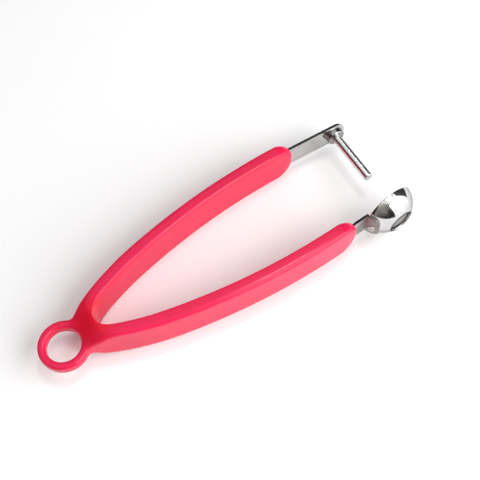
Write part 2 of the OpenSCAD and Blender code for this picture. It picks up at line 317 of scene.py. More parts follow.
bpy.ops.object.mode_set(mode="EDIT")
bpy.ops.mesh.select_mode(type="FACE")
bpy.ops.mesh.select_all(action="SELECT")
for _ in range(2):
    bpy.ops.mesh.extrude_region_move(TRANSFORM_OT_translate={"value": (0, 0, MM)})
pick("FACE", lambda f: all(abs(v.co.z) < tiny for v in f.verts))
bpy.ops.mesh.delete(type="FACE")
rim_edges = pick("EDGE", is_rim)
bpy.ops.mesh.mark_seam(clear=False)
move_each(raised)
apply_modifier("MIRROR", use_axis=(False, False, True), merge_threshold=tiny)
print("Rim edges:", rim_edges, "cage:", face_count(moulding))

# %% [markdown]
# ## Rounding the moulding
# The outer edges of the sleeves are softly rounded for the hand. The ring's edges and those between the
# arms are crisper, and a thin highlight runs along them. Bevel weights on the marked edges give all
# roundings in one Bevel modifier, and a Subdivision Surface turns the facets of the plan into curves.

# %% Round and smooth the moulding
outer_edge_r, inner_edge_r, ring_edge_r = 1.6 * MM, 1 * MM, 1.25 * MM


def rounding_of(edge):
    """Radius for a marked edge, by the way its side wall faces."""
    place = middle(edge)
    wall = max(walls_at(edge), key=lambda normal: abs(normal.y))
    if place.x < ring_outer_r:
        return ring_edge_r
    faces_other_arm = wall.y * place.y < -tiny
    faces_head = wall.x > 0.9
    return inner_edge_r if faces_other_arm or faces_head else outer_edge_r


bpy.ops.object.mode_set(mode="EDIT")
bpy.ops.mesh.select_all(action="SELECT")
bpy.ops.mesh.normals_make_consistent(inside=False)
for rounding in (outer_edge_r, inner_edge_r, ring_edge_r):
    count = pick("EDGE", lambda e: e.seam and rounding_of(e) == rounding)
    bpy.ops.transform.edge_bevelweight(value=rounding / outer_edge_r)
    print(count, "edges rounded by", round(rounding / MM, 2), "mm")
bpy.ops.mesh.select_all(action="SELECT")
bpy.ops.mesh.mark_seam(clear=True)
apply_modifier("BEVEL", width=outer_edge_r, segments=4, limit_method="WEIGHT", use_clamp_overlap=False)
apply_modifier("SUBSURF", levels=2, render_levels=2)
print("Smooth moulding:", face_count(moulding))

# %% [markdown]
# ## Round ends
# Each sleeve ends like a fingertip: a half circle seen from above, and a large quarter circle above and
# below seen from the side. The smooth arm still ends square, and it is shaped like clay: each place near
# the end is drawn back along the arm by the depth of both circles, fully at the end and less further on.

# %% Round the ends of the sleeves
nose_r, drawn_l = 8.5 * MM, 25 * MM
end_angle = knee_angle - palm_end_turn


def depth(radius, aside):
    """How far a circle has fallen back at this distance beside its middle."""
    return radius - sqrt(radius ** 2 - min(max(aside, 0), radius) ** 2)


def round_end(place):
    """Draw a place near the end of an arm back along the arm."""
    upper = Vector((place.x, abs(place.y), 0))
    angle = angle_about(palm_mid, upper)
    to_end = (angle - end_angle) * palm_r
    if to_end > drawn_l:
        return place
    reach = (upper - palm_mid).length
    back = depth(arm_half_t, abs(reach - palm_r)) + depth(nose_r, abs(place.z) - sleeve_half_h + nose_r)
    kept = palm_mid + reach * outward(angle + back * (1 - to_end / drawn_l) / palm_r)
    return Vector((kept.x, kept.y if place.y > 0 else -kept.y, place.z))


def turn_faces_out():
    """Turn all faces of the active object outwards, and leave edit mode."""
    bpy.ops.object.mode_set(mode="EDIT")
    bpy.ops.mesh.select_all(action="SELECT")
    bpy.ops.mesh.normals_make_consistent(inside=False)
    bpy.ops.object.mode_set(mode="OBJECT")


bpy.ops.object.mode_set(mode="EDIT")
move_each(round_end)
turn_faces_out()
print("Ends at x", round(max(v.co.x for v in moulding.data.vertices) / MM, 2), "mm")

# %% [markdown]
# ## Parted where it bends
# Squeezing the tool bends the moulding where the arms leave the yoke, so the smooth moulding is parted
# there: the ring with the yoke is one piece, and each sleeve is a piece of its own. A piece can bend
# between two bodies only. The cut runs along an edge loop, and Poke Faces turns the caps that close it
# into fans of triangles, which lie inside the surface, so no seam shows.

# %% Part the sleeves from the yoke
seam_angle = fork_angle - (fork_angle - knee_angle) / shoulder_steps


def past_seam(place):
    """Whether a place of either arm lies past the cut."""
    return angle_about(shoulder_mid, Vector((place.x, abs(place.y)))) < seam_angle


def select_only(piece):
    """Make a piece the selected and active object."""
    bpy.ops.object.select_all(action="DESELECT")
    bpy.context.view_layer.objects.active = piece
    piece.select_set(True)


sleeves = {}
for arm, side in (("upper", 1), ("lower", -1)):
    bpy.ops.object.mode_set(mode="EDIT")
    pick("FACE", lambda f: past_seam(middle(f)) and middle(f).y * side > 0)
    bpy.ops.mesh.separate(type="SELECTED")
    bpy.ops.object.mode_set(mode="OBJECT")
    sleeves[arm] = next(o for o in bpy.context.selected_objects if o is not moulding)
    sleeves[arm].name = sleeves[arm].data.name = f"{arm}_sleeve"
    sleeves[arm].select_set(False)
for piece in (moulding, *sleeves.values()):
    select_only(piece)
    bpy.ops.object.mode_set(mode="EDIT")
    bpy.ops.mesh.select_all(action="SELECT")
    bpy.ops.mesh.fill_holes(sides=0)
    bpy.ops.mesh.normals_make_consistent(inside=False)
    caps = pick("FACE", lambda f: len(f.verts) > 4)
    bpy.ops.mesh.poke()
    bpy.ops.object.mode_set(mode="OBJECT")
    bpy.ops.object.shade_smooth_by_angle(angle=radians(60))
    print(piece.name, "closed by", caps, "caps")
print(face_count(moulding, *sleeves.values()))

# %% Hang the ring on the yoke, and hide the solids under the moulding
seam_place = shoulder_mid + shoulder_r * outward(seam_angle)
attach(moulding, "yoke")
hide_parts("ring_yoke")
for arm, side in (("upper", 1), ("lower", -1)):
    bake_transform(sleeves[arm])
    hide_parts(f"{arm}_grip")

# %% [markdown]
# ## The steel strip
# Both blades are bent from flat spring strip. A strip is a line across its width, swept along the arm's
# curve: so one upright line of vertices is spun along the arcs and extruded along the straight end, and
# a Solidify modifier gives it the thickness of the sheet. The vertices of the line lie closer towards
# the edges, like the points of a half circle seen from the side, so that a round end is drawn well.

# %% A strip along the upper arm
strip_w, strip_t = 11.5 * MM, 1.2 * MM
strip_lines = 16


def strip_line(name):
    """Start a strip inside its sleeve, as an upright line of vertices in edit mode."""
    bpy.ops.mesh.primitive_grid_add(x_subdivisions=1, y_subdivisions=strip_lines, size=2)
    strip = start_piece(name)
    pick("VERT", lambda v: v.co.x > 0)
    bpy.ops.mesh.delete(type="VERT")
    move_each(lambda p: seam_place + Vector((0, 0, strip_w / 2 * sin(pi / 2 * p.y))))
    bpy.ops.mesh.select_all(action="SELECT")
    bend(shoulder_mid, seam_angle - knee_angle, shoulder_steps)
    bend(palm_mid, palm_turn, palm_steps)
    return strip


def extrude_end(place_of):
    """Extrude the end of a strip and put each new vertex at the place for its height."""
    bpy.ops.mesh.extrude_edges_move(TRANSFORM_OT_translate={"value": (0, 0, 0)})
    move_each(lambda place: place_of(place.z), selected_only=True)


def give_thickness(edge_rounding):
    """Turn the strip's surface into sheet steel with slightly rounded edges."""
    apply_modifier("SOLIDIFY", thickness=strip_t, offset=0, use_even_offset=True)
    apply_modifier("BEVEL", width=edge_rounding, segments=2, limit_method="ANGLE", angle_limit=radians(50))
    turn_faces_out()
    bpy.ops.object.shade_smooth_by_angle(angle=radians(40))


punch_reach = 25.4 * MM
strip_edge_r = 0.12 * MM


def on_round_end(z):
    """Where the half circle at the end of the upper strip is at this height."""
    past_punch = sqrt(max((strip_w / 2) ** 2 - z * z, 0))
    return tip + (punch_reach + past_punch) * ahead(tip_angle) + Vector((0, 0, z))


upper_strip = strip_line("upper_strip")
extrude_end(on_round_end)
give_thickness(strip_edge_r)
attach(upper_strip, "upper_arm")
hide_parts("upper_blade")
print(face_count(upper_strip))

# %% [markdown]
# ## The end that cradles the cup
# The lower blade runs up to the cup, is bent over its outside and riveted to it. It is made like the
# upper blade as far as the ball of the cup. From there the row of vertices is spun about the ball's own
# middle, so the tongue hugs the ball. Its corners are drawn back like quarter circles, the sharp bend
# gets a Bevel, and a negative scale puts the blade on the lower arm.

# %% The lower strip and its cradle
cup_reach, cup_rim_r, cup_ball_rise = 20.8 * MM, 12.5 * MM, 2.7 * MM
cup_ball_r = sqrt(cup_rim_r ** 2 + cup_ball_rise ** 2)
cradle_gap = 0.05 * MM
cradle_mid_r = cup_ball_r + cradle_gap + strip_t / 2
cradle_outer_r = cradle_mid_r + strip_t / 2
cradle_l, cradle_corner_r = 1.8 * MM, 4.2 * MM
ball_side = strip_t / 2 - cup_ball_rise
ball = tip + cup_reach * ahead(tip_angle) + ball_side * outward(tip_angle)
cradle_from = asin(-ball_side / cradle_mid_r)
cradle_to = acos((cup_rim_r - cradle_l) / cradle_outer_r)
tongue_steps = 10


def meets_ball(z):
    """Where the middle of the straight strip meets the ball at this height."""
    before_ball = sqrt(cradle_mid_r ** 2 - z * z - ball_side ** 2)
    return ball - before_ball * ahead(tip_angle) - ball_side * outward(tip_angle) + Vector((0, 0, z))


def round_corner(place):
    """Draw a place of the tongue back towards the bend, more at the corners of its end."""
    arm = Vector((place.x, place.y, 0)) - ball
    turn = tip_angle + pi - atan2(arm.y, arm.x) % tau
    into_corner = abs(place.z) - (strip_w / 2 - cradle_corner_r)
    on_ball = arm.length < 2 * cradle_mid_r
    if turn < cradle_from + tiny_angle or into_corner < 0 or not on_ball:
        return place
    cut = depth(cradle_corner_r, into_corner) / cradle_mid_r
    back = cut * (turn - cradle_from) / (cradle_to - cradle_from)
    kept = tip_angle + pi - (turn - back)
    return ball + arm.length * ahead(kept) + Vector((0, 0, place.z))


lower_strip = strip_line("lower_strip")
extrude_end(meets_ball)
bpy.ops.mesh.spin(steps=tongue_steps, angle=cradle_to - cradle_from, center=ball, axis=(0, 0, 1))
move_each(round_corner)
bend_rounding = 0.7 * MM
bend_edges = pick("EDGE", lambda e: all((v.co - meets_ball(v.co.z)).length < tiny for v in e.verts))
bpy.ops.mesh.bevel(offset=bend_rounding, segments=3, affect="EDGES")
give_thickness(strip_edge_r)
print("Bend of", bend_edges, "edges,", face_count(lower_strip))

# %% Put the strip on the lower arm
def put_on_lower_arm(piece):
    """Mirror a piece that was modelled on the upper arm, and turn its faces outwards again."""
    select_only(piece)
    piece.scale.y = -1
    bpy.ops.object.transform_apply(location=True, rotation=True, scale=True)
    turn_faces_out()
    print(piece.name, "put on the lower arm")


put_on_lower_arm(lower_strip)
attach(lower_strip, "lower_arm")
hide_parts("lower_blade")

# %% [markdown]
# ## Turned pieces
# The punch, its collar and the rivet are turned on a lathe. Their profiles are drawn point by point with
# Extrude, as a polyline is drawn by hand, and the Spin operator turns it about the axis. That is how the
# real pieces get their shape, and every chamfer and dome is simply a point or an arc of the profile.

# %% The lathe
lathe_steps = 96


def arc(mid, radius, start, end, steps):
    """Points of a rounding in a profile, as (distance from the axis, height)."""
    turns = [radians(start + (end - start) * k / steps) for k in range(steps + 1)]
    return [(mid[0] + radius * cos(a), mid[1] + radius * sin(a)) for a in turns]


def set_up(piece, seat, axis):
    """Move a piece that was made along Z at the origin to its seat and along its axis."""
    piece.location = seat
    piece.rotation_mode = "QUATERNION"
    piece.rotation_quaternion = axis.to_track_quat("Z", "Y")
    bpy.ops.object.transform_apply(location=True, rotation=True, scale=True)


def lathe(name, profile, seat, axis):
    """Turn a profile about the axis that leaves the seat."""
    bpy.ops.mesh.primitive_plane_add(size=MM)
    piece = start_piece(name)
    bpy.ops.mesh.select_mode(type="VERT")
    bpy.ops.mesh.select_all(action="SELECT")
    bpy.ops.mesh.merge(type="CENTER")
    bpy.ops.transform.translate(value=(profile[0][0], 0, profile[0][1]))
    for here, there in zip(profile, profile[1:]):
        step = (there[0] - here[0], 0, there[1] - here[1])
        bpy.ops.mesh.extrude_vertices_move(TRANSFORM_OT_translate={"value": step})
    bpy.ops.mesh.select_all(action="SELECT")
    bpy.ops.mesh.spin(steps=lathe_steps, angle=tau, center=(0, 0, 0), axis=(0, 0, 1))
    bpy.ops.mesh.select_all(action="SELECT")
    bpy.ops.mesh.remove_doubles(threshold=tiny)
    turn_faces_out()
    set_up(piece, seat, axis)
    bpy.ops.object.shade_smooth_by_angle(angle=radians(35))
    return piece


# %% The punch and its collar
punch_r, punch_l, punch_rounding = 2.1 * MM, 28 * MM, 0.4 * MM
tail_r, head_r, head_h = 1.5 * MM, 3 * MM, 1 * MM
dome_r = (head_r ** 2 + head_h ** 2) / (2 * head_h)
dome_mid = (0, -strip_t - head_h + dome_r)
dome_edge = degrees(asin(head_r / dome_r))
punch_profile = [(0, punch_l)]
punch_profile += arc((punch_r - punch_rounding, punch_l - punch_rounding), punch_rounding, 90, 0, steps=5)
punch_profile += [(punch_r, 0), (tail_r, 0), (tail_r, -strip_t), (head_r, -strip_t)]
punch_profile += arc(dome_mid, dome_r, dome_edge - 90, -90, steps=8)[1:]
punch_seat = tip + punch_reach * ahead(tip_angle) - strip_t / 2 * outward(tip_angle)
punch = lathe("stone_punch", punch_profile, punch_seat, -outward(tip_angle))

collar_r, collar_h, collar_rounding = 4.2 * MM, 2.6 * MM, 0.45 * MM
collar_profile = [(punch_r, 0), (collar_r, 0)]
collar_profile += arc((collar_r - collar_rounding, collar_h - collar_rounding), collar_rounding, 0, 90,
                      steps=6)
collar_profile += [(punch_r, collar_h), (punch_r, 0)]
collar = lathe("punch_foot", collar_profile, punch_seat, -outward(tip_angle))
for piece, node in ((punch, "punch_pin"), (collar, "punch_collar")):
    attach(piece, "upper_arm")
    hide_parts(node)
print(face_count(punch, collar))

# %% [markdown]
# ## The cup
# The cup is pressed from thin sheet: a piece of a ball with a rounded rim and a round hole for the stone.
# A UV sphere already has its rings about the hole's axis, so it only has to be cut off at the rim and at
# the hole with Bisect. Solidify gives the sheet its thickness, and a Bevel rounds both lips.

# %% The cup
cup_wall, stone_hole_r = 0.9 * MM, 5.25 * MM
lip_rounding = 0.28 * MM
bpy.ops.mesh.primitive_uv_sphere_add(segments=128, ring_count=80, radius=cup_ball_r)
cup = start_piece("cherry_cup")
hole_height = sqrt(cup_ball_r ** 2 - stone_hole_r ** 2)
for height, below in ((cup_ball_rise, True), (hole_height, False)):
    bpy.ops.mesh.select_all(action="SELECT")
    bpy.ops.mesh.bisect(plane_co=(0, 0, height), plane_no=(0, 0, 1),
                        clear_inner=below, clear_outer=not below)
apply_modifier("SOLIDIFY", thickness=cup_wall, offset=-1, use_even_offset=True)
apply_modifier("BEVEL", width=lip_rounding, segments=4, limit_method="ANGLE", angle_limit=radians(60))
set_up(cup, ball, outward(tip_angle))
bpy.ops.object.shade_smooth_by_angle(angle=radians(40))
put_on_lower_arm(cup)

# %% [markdown]
# ## The rivet
# A small round mark on the strip's pressed end is read as the head of the rivet that holds the cup. Its
# shank passes through both sheets to a second head inside the cup. It is turned like the punch.

# %% The rivet of the cradle
rivet_r, rivet_head_r, rivet_head_h = 1.1 * MM, 1.8 * MM, 0.4 * MM
rivet_rounding = 0.3 * MM
rivet_turn = (asin(cup_ball_rise / cradle_outer_r) + cradle_to) / 2
inner_seat = sqrt((cup_ball_r - cup_wall) ** 2 - rivet_head_r ** 2)
rivet_profile = [(0, inner_seat - rivet_head_h), (rivet_head_r, inner_seat - rivet_head_h)]
rivet_profile += [(rivet_head_r, inner_seat), (rivet_r, inner_seat)]
rivet_profile += [(r, cradle_outer_r - rivet_head_h) for r in (rivet_r, rivet_head_r)]
rivet_profile += arc((rivet_head_r - rivet_rounding, cradle_outer_r + rivet_head_h - rivet_rounding),
                     rivet_rounding, 0, 90, steps=5)
rivet_profile += [(0, cradle_outer_r + rivet_head_h)]
rivet_axis = ahead(tip_angle + pi - rivet_turn)
rivet = lathe("cradle_rivet", rivet_profile, ball, rivet_axis)
put_on_lower_arm(rivet)
for piece, node in ((cup, "pit_cup"), (rivet, "cup_rivet")):
    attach(piece, "lower_arm")
    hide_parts(node)
print(face_count(cup, rivet))

# %% [markdown]
# ## Marks that every finish shares
# No real surface is one flat colour. Handling leaves soft smudges, and making it leaves a fine grain:
# the texture of a mould, the lines of a brush or a polishing wheel. Both are built once, as a node group
# that puts out two values, and each material takes them at its own size and strength.

# %% Node group of smudges and grain
def connect(tree, value, socket):
    """Link an output to an input, or set the input to a value."""
    if isinstance(value, bpy.types.NodeSocket):
        tree.links.new(value, socket)
    else:
        socket.default_value = value


def fill(tree, sockets, **values):
    """Link or set inputs, whose names are written with _ for a space."""
    for name, value in values.items():
        connect(tree, value, sockets[name.replace("_", " ")])


def add_node(tree, kind, **inputs):
    """Add a node and fill its inputs."""
    node = tree.nodes.new(kind)
    fill(tree, node.inputs, **inputs)
    return node


def math_node(tree, operation, *values, kind="ShaderNodeMath", output="Value"):
    """Add a Math or Vector Math node, fill its inputs in order, and give an output."""
    node = tree.nodes.new(kind)
    node.operation = operation
    for value, socket in zip(values, node.inputs):
        connect(tree, value, socket)
    return node.outputs[output]


def new_group(name, inputs, outputs):
    """Start a node group, and give it with the sockets of its input and output nodes."""
    group = bpy.data.node_groups.new(name, "ShaderNodeTree")
    for label, kind in inputs.items():
        group.interface.new_socket(label, in_out="INPUT", socket_type=f"NodeSocket{kind}")
    for label in outputs:
        group.interface.new_socket(label, in_out="OUTPUT", socket_type="NodeSocketFloat")
    return group, group.nodes.new("NodeGroupInput").outputs, group.nodes.new("NodeGroupOutput").inputs


handling_marks, given, gives = new_group(
    "handling_marks", {"Smudge Scale": "Float", "Grain Scale": "Vector"}, ("Smudge", "Grain"))
place = handling_marks.nodes.new("ShaderNodeTexCoord").outputs["Object"]
smudge = add_node(handling_marks, "ShaderNodeTexNoise", Vector=place, Scale=given["Smudge Scale"], Detail=3,
                  Roughness=0.55, Distortion=0.6)
spread = add_node(handling_marks, "ShaderNodeMapRange", Value=smudge.outputs["Fac"], From_Min=0.32,
                  From_Max=0.68)
stretch = math_node(handling_marks, "MULTIPLY", place, given["Grain Scale"], kind="ShaderNodeVectorMath",
                    output="Vector")
grain = add_node(handling_marks, "ShaderNodeTexNoise", Vector=stretch, Scale=1, Detail=4, Roughness=0.6)
fill(handling_marks, gives, Smudge=spread.outputs["Result"], Grain=grain.outputs["Fac"])
print("Group", handling_marks.name, "has", len(handling_marks.nodes), "nodes")

# %% [markdown]
# ## A finish from its marks
# Every finish here is a Principled shader whose colour, roughness and bump follow the two kinds of marks.
# One function wires that up, and the finishes differ in their colours, sizes and strengths.

# %% Wiring of a finish
def use_group(tree, group, **inputs):
    """Put a node group into a material, fill its inputs, and give its outputs."""
    node = tree.nodes.new("ShaderNodeGroup")
    node.node_tree = group
    fill(tree, node.inputs, **inputs)
    return node.outputs


def finish_with_marks(name, colours, roughness, smudge_scale, grain_scale, bump_height, metallic,
                      edge_tint=1):
    """Make a material between two colours and two roughnesses, with a fine bump."""
    material = bpy.data.materials.new(name)
    material.use_nodes = True
    tree = material.node_tree
    marks = use_group(tree, handling_marks, Smudge_Scale=smudge_scale, Grain_Scale=grain_scale)
    tint = tree.nodes.new("ShaderNodeMix")
    tint.data_type = "RGBA"
    fill(tree, tint.inputs, Factor=marks["Smudge"], A=(*colours[0], 1), B=(*colours[1], 1))
    rough = add_node(tree, "ShaderNodeMapRange", Value=marks["Smudge"], To_Min=roughness[0],
                     To_Max=roughness[1])
    bump = add_node(tree, "ShaderNodeBump", Strength=1, Distance=bump_height, Height=marks["Grain"])
    fill(tree, tree.nodes["Principled BSDF"].inputs, Metallic=metallic,
         Specular_Tint=(edge_tint, edge_tint, edge_tint, 1), Base_Color=tint.outputs["Result"],
         Roughness=rough.outputs["Result"], Normal=bump.outputs["Normal"])
    return material


def dress(material, *pieces):
    """Give the pieces this material alone."""
    for piece in pieces:
        piece.data.materials.clear()
        piece.data.materials.append(material)
    print(material.name, "on", ", ".join(piece.name for piece in pieces))


# %% [markdown]
# ## Places that look different
# Some places of a piece are painted another colour than the rest of it: the cut edges of a strip nearly
# black, a painted dark reflection; the inside of the cup darker, painted shade; and the yoke's slope a
# deeper red, painted shade. Painting a mask by hand would do, but a mask worked out from the place itself
# needs no image. Two groups give it: by the distance from a point, and by the height above or below the
# tool's middle plane.

# %% Masks by place
near_point, given, gives = new_group(
    "near_point", {"Point": "Vector", "Inner": "Float", "Outer": "Float"}, ("Mask",))
place = near_point.nodes.new("ShaderNodeTexCoord").outputs["Object"]
distance = math_node(near_point, "DISTANCE", place, given["Point"], kind="ShaderNodeVectorMath")
fade = add_node(near_point, "ShaderNodeMapRange", Value=distance, From_Min=given["Outer"],
                From_Max=given["Inner"])
fade.interpolation_type = "SMOOTHSTEP"
fill(near_point, gives, Mask=fade.outputs["Result"])

beyond_height, given, gives = new_group("beyond_height", {"Start": "Float", "Full": "Float"}, ("Mask",))
place = beyond_height.nodes.new("ShaderNodeTexCoord").outputs["Object"]
parts = add_node(beyond_height, "ShaderNodeSeparateXYZ", Vector=place)
from_plane = math_node(beyond_height, "ABSOLUTE", parts.outputs["Z"])
fade = add_node(beyond_height, "ShaderNodeMapRange", Value=from_plane, From_Min=given["Start"],
                From_Max=given["Full"])
fill(beyond_height, gives, Mask=fade.outputs["Result"])
print("Groups", near_point.name, "and", beyond_height.name, "made")

# %% Change a finish where a mask says so
def change_where(material, mask, colour, roughness):
    """Let a material turn to another colour and roughness where the mask is 1."""
    tree = material.node_tree
    surface = tree.nodes["Principled BSDF"].inputs
    for name, kind, value in (("Base Color", "RGBA", (*colour, 1)), ("Roughness", "FLOAT", roughness)):
        before = surface[name].links[0].from_socket
        mix = tree.nodes.new("ShaderNodeMix")
        mix.data_type = kind
        fill(tree, mix.inputs, Factor=mask, A=before, B=value)
        connect(tree, mix.outputs["Result"], surface[name])


# %% [markdown]
# ## Pink plastic
# The moulding is a satin, fully dyed plastic. Fine mould texture breaks its highlights up a little. The
# yoke's slope is painted a deeper, less pink red: painted shade, where it faces away from the light and
# mirrors little. A clear coat would make it too glossy, so the sheen is set lower than for plain plastic
# instead.

# %% Pink satin plastic
satin_level = 0.29
yoke_shade_mid, yoke_shade_full, yoke_shade_fade = Vector((15, 0, 5)) * MM, 4 * MM, 15 * MM
pink_plastic = finish_with_marks(
    "pink_satin_plastic", colours=((0.73, 0.0115, 0.07), (0.79, 0.014, 0.08)), roughness=(0.15, 0.2),
    smudge_scale=45, grain_scale=(2600, 2600, 2600), bump_height=0.004 * MM, metallic=0)
tree = pink_plastic.node_tree
fill(tree, tree.nodes["Principled BSDF"].inputs, Specular_IOR_Level=satin_level)
# Painted shade: the yoke's slope gets a deeper, less pink red, where it faces away from the light.
yoke_shade_mask = use_group(tree, near_point, Point=yoke_shade_mid, Inner=yoke_shade_full, Outer=yoke_shade_fade)
change_where(pink_plastic, yoke_shade_mask["Mask"], colour=(0.8, 0.003, 0.03), roughness=0.19)
dress(pink_plastic, moulding, *sleeves.values())

# %% [markdown]
# ## Strip steel
# The strip is cold rolled: a satin grey with a grain along its length. Its cut edges are painted nearly
# black and dull, a painted dark reflection. Round the rivet of the cup it is darker and blotchy, where a
# noise breaks the mask of that place up.

# %% Rolled strip
flat_w = strip_w / 2 - strip_edge_r
dark_edge_fade = 0.12 * MM


def rolled_strip(name):
    """Satin strip steel with dull cut edges painted nearly black, a painted dark reflection."""
    material = finish_with_marks(
        name, colours=((0.5, 0.5, 0.49), (0.54, 0.54, 0.53)), roughness=(0.18, 0.24),
        smudge_scale=300, grain_scale=(120, 5000, 5000), bump_height=0.004 * MM, metallic=1)
    # Painted dark reflection: the cut edges are painted nearly black.
    painted_dark_edge = use_group(material.node_tree, beyond_height, Start=flat_w - dark_edge_fade, Full=flat_w)
    change_where(material, painted_dark_edge["Mask"], colour=(0.04, 0.04, 0.04), roughness=0.4)
    return material


dress(rolled_strip("rolled_strip_steel"), upper_strip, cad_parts["spring_bow"])

# %% The pressed cradle and its rivet
def on_lower_arm(place):
    """The place on the lower arm that mirrors this one."""
    return Vector((place.x, -place.y, place.z))


cradle_seat = on_lower_arm(ball + cradle_outer_r * rivet_axis)
blotch_full, blotch_fade = 5.5 * MM, 8.5 * MM
cradle_steel = rolled_strip("pressed_cradle_steel")
tree = cradle_steel.node_tree
# Round the rivet the strip turns a darker grey in blotches, where a noise breaks up a mask by the distance
# from the rivet.
around_rivet = use_group(tree, near_point, Point=cradle_seat, Inner=blotch_full, Outer=blotch_fade)
place = tree.nodes.new("ShaderNodeTexCoord").outputs["Object"]
blotch = add_node(tree, "ShaderNodeTexNoise", Vector=place, Scale=900, Detail=4, Roughness=0.65)
spread = add_node(tree, "ShaderNodeMapRange", Value=blotch.outputs["Fac"], From_Min=0.35, From_Max=0.6,
                  To_Min=0.65)
dark_blotches = math_node(tree, "MULTIPLY", around_rivet["Mask"], spread.outputs["Result"])
change_where(cradle_steel, dark_blotches, colour=(0.24, 0.22, 0.21), roughness=0.5)
dress(cradle_steel, lower_strip)
rivet_steel = finish_with_marks(
    "rivet_steel", colours=((0.4, 0.39, 0.38), (0.46, 0.45, 0.44)), roughness=(0.3, 0.36), smudge_scale=300,
    grain_scale=(900, 900, 900), bump_height=0.004 * MM, metallic=1)
dress(rivet_steel, rivet)

# %% [markdown]
# ## Polished steel
# The cup, the collar and the punch are polished stainless steel. The cup's outside and the punch mirror
# about two thirds of the light, and the collar about one third. The cup's inside is as smooth, and painted
# darker as painted shade. Its stone hole was punched, and a dark ring painted round it is painted shade
# round a brighter cut. The punch was ground while it turned: fine lines run round it and smear what it
# mirrors along its length, which the anisotropy of the shader does.

# %% Polished cup
def polished(name, roughness, grain_scale, shine=0.66):
    """Polished stainless steel that mirrors about this share of the light."""
    return finish_with_marks(
        name, colours=[(s, s, s) for s in (0.94 * shine, 1.06 * shine)], roughness=roughness,
        smudge_scale=220, grain_scale=grain_scale, bump_height=0.0006 * MM, metallic=1, edge_tint=0.5)


polished_cup = polished("polished_cup_steel", roughness=(0.04, 0.09), grain_scale=(900, 900, 900))
inside_shade_full, inside_shade_fade = cup_ball_r - 0.3 * MM, cup_ball_r - 0.1 * MM
lip_shade_full, lip_shade_fade = stone_hole_r + 0.5 * MM, stone_hole_r + 1 * MM
cut_full, cut_fade = stone_hole_r + 0.002 * MM, stone_hole_r + 0.012 * MM
hole_mid = on_lower_arm(ball + (hole_height - cup_wall / 2) * outward(tip_angle))
# Painted shade: the cup's inside is darker, and a dark ring lies round the stone hole; the cut is brighter.
for point, inner, outer, colour, roughness in (
        (on_lower_arm(ball), inside_shade_full, inside_shade_fade, (0.42, 0.42, 0.41), 0.06),
        (hole_mid, lip_shade_full, lip_shade_fade, (0.04, 0.04, 0.04), 0.4),
        (hole_mid, cut_full, cut_fade, (0.45, 0.45, 0.44), 0.35)):
    near = use_group(polished_cup.node_tree, near_point, Point=point, Inner=inner, Outer=outer)
    change_where(polished_cup, near["Mask"], colour, roughness)
dress(polished_cup, cup)

# %% Turned collar and ground punch
round_grain = (900, 4000, 900)
smear, quarter_turn = 0.85, 0.25
collar_steel = polished("turned_collar_steel", roughness=(0.06, 0.1), grain_scale=round_grain, shine=0.34)
dress(collar_steel, collar)
ground_pin = polished("ground_pin_steel", roughness=(0.2, 0.24), grain_scale=round_grain)
tree = ground_pin.node_tree
around = tree.nodes.new("ShaderNodeTangent")
around.direction_type = "RADIAL"
around.axis = "Y"
fill(tree, tree.nodes["Principled BSDF"].inputs, Anisotropic=smear, Anisotropic_Rotation=quarter_turn,
     Tangent=around.outputs["Tangent"])
dress(ground_pin, punch)

# %% [markdown]
# ## The table
# The tool lies on its side on a white table. The cup is wider than the sleeves, so it touches first, and
# the tool then rocks over until the outer edge of the upper sleeve touches near the yoke. The table's
# plane runs through the lowest point of the cup and along that edge, let down until nothing sinks in.
# A small part of its white is emission for the camera and for reflections, as a lit backdrop gives it,
# and the rest is plain diffuse, which keeps the shadows.

# %% Floor
touch_angle = radians(17)
table_size = 6
sleeve_touch = shoulder_mid + (shoulder_r + arm_half_t - outer_edge_r) * outward(touch_angle)
sleeve_touch.z = -sleeve_half_h
rim_mid = ball + cup_ball_rise * outward(tip_angle)
cup_touch = Vector((rim_mid.x, -rim_mid.y, -cup_rim_r))
table_up = ahead(touch_angle).cross(sleeve_touch - cup_touch).normalized()
table_turn = table_up.to_track_quat("Z", "Y").to_euler()
bpy.ops.mesh.primitive_plane_add(size=table_size, location=cup_touch, rotation=table_turn)
floor = bpy.context.object
floor.name = "white_table"
pieces = (moulding, *sleeves.values(), upper_strip, lower_strip, punch, collar, cup, rivet)
lowest = min((v.co - cup_touch).dot(table_up) for piece in pieces for v in piece.data.vertices)
floor.location += lowest * table_up
lean = degrees(acos(table_up.z))
print("Table leans", round(lean, 2), "degrees, let down by", round(-lowest / MM, 3), "mm")

# %% White of the table
def seen_directly(tree):
    """Value that is 1 for camera, glossy and transmission rays."""
    path = tree.nodes.new("ShaderNodeLightPath").outputs
    total = path["Is Camera Ray"]
    for name in ("Is Glossy Ray", "Is Transmission Ray"):
        total = math_node(tree, "MAXIMUM", total, path[name])
    return total


def bare_material(name):
    """A material that has no shader yet."""
    material = bpy.data.materials.new(name)
    material.use_nodes = True
    material.node_tree.nodes.remove(material.node_tree.nodes["Principled BSDF"])
    return material


def mix_shaders(tree, share, first, second, output):
    """Show the second shader by this share and the first one for the rest."""
    mix = tree.nodes.new("ShaderNodeMixShader")
    tree.links.new(share, mix.inputs["Fac"])
    tree.links.new(first.outputs[0], mix.inputs[1])
    tree.links.new(second.outputs[0], mix.inputs[2])
    tree.links.new(mix.outputs["Shader"], tree.nodes[output].inputs["Surface"])


emission_share = 0.06
table_white = bare_material("white_table")
tree = table_white.node_tree
matte = add_node(tree, "ShaderNodeBsdfDiffuse", Color=(0.97, 0.97, 0.97, 1))
glow = add_node(tree, "ShaderNodeEmission", Color=(1, 1, 1, 1), Strength=1)
glow_share = math_node(tree, "MULTIPLY", seen_directly(tree), emission_share)
mix_shaders(tree, glow_share, matte, glow, "Material Output")
dress(table_white, floor)

